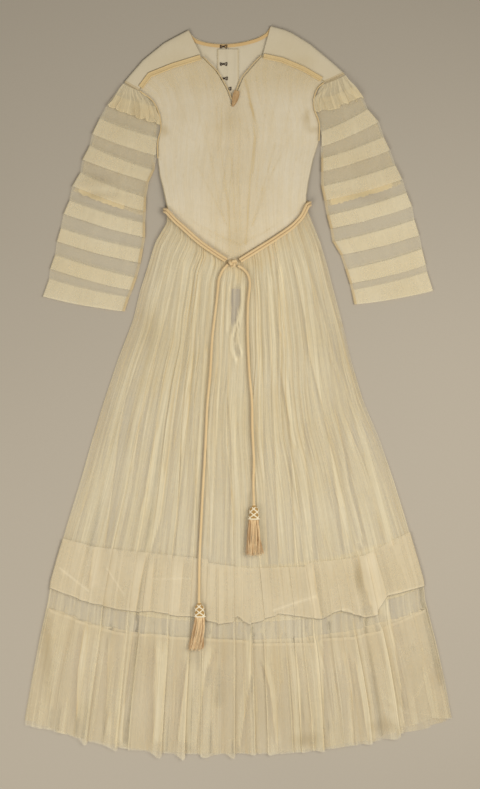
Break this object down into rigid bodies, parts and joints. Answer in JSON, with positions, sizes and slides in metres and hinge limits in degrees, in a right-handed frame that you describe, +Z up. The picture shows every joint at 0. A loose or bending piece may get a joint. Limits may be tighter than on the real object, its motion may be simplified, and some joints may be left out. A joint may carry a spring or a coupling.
{
  "type": "maxi dress laid flat",
  "caption": "Long sheer gathered gown with V neck, tucked sleeves, deep hem and a tasselled cord belt, laid flat on its back.",
  "frame": {"origin": "middle of the gown's outline as it lies, on the surface that it lies on", "axes": "+Y from the hem towards the neck, +Z up out of the surface, +X to the viewer's right"},
  "size_m": [0.8294, 1.4339, 0.0199],
  "materials": {
    "sheer_cotton": "sheer undyed cotton, matt, slightly yellowed",
    "cotton_lining": "plain close-woven white cotton, matt",
    "tan_tape": "narrow tan tape, matt",
    "tan_cord": "twisted tan cord",
    "peach_fringe": "peach-tan thread fringe with a wound white and gold head",
    "iron_hook": "blackened iron wire"
  },
  "bodies": {
    "root": {"skirt": "sheer_cotton", "skirt_tuck": "sheer_cotton", "skirt_hem": "sheer_cotton", "bodice_front": "sheer_cotton", "bodice_lining": "cotton_lining", "bodice_back_l": "sheer_cotton", "bodice_back_r": "sheer_cotton", "back_placket": "sheer_cotton", "shoulder_band_l": "sheer_cotton", "shoulder_band_r": "sheer_cotton", "armhole_piping_l": "sheer_cotton", "armhole_piping_r": "sheer_cotton", "neck_piping": "sheer_cotton", "neck_tape": "tan_tape", "neck_tab": "tan_tape", "hook_1": "iron_hook", "hook_2": "iron_hook", "hook_3": "iron_hook", "hook_4": "iron_hook", "sleeve_l": "sheer_cotton", "sleeve_r": "sheer_cotton", "sleeve_lining_l": "cotton_lining", "sleeve_lining_r": "cotton_lining", "sleeve_ruffle_l": "sheer_cotton", "sleeve_ruffle_r": "sheer_cotton", "belt_upper": "tan_cord", "belt_lower": "tan_cord", "belt_knot": "tan_cord", "cord_left": "tan_cord", "cord_right": "tan_cord", "tassel_left": "peach_fringe", "tassel_right": "peach_fringe"}
  },
  "joints": []
}
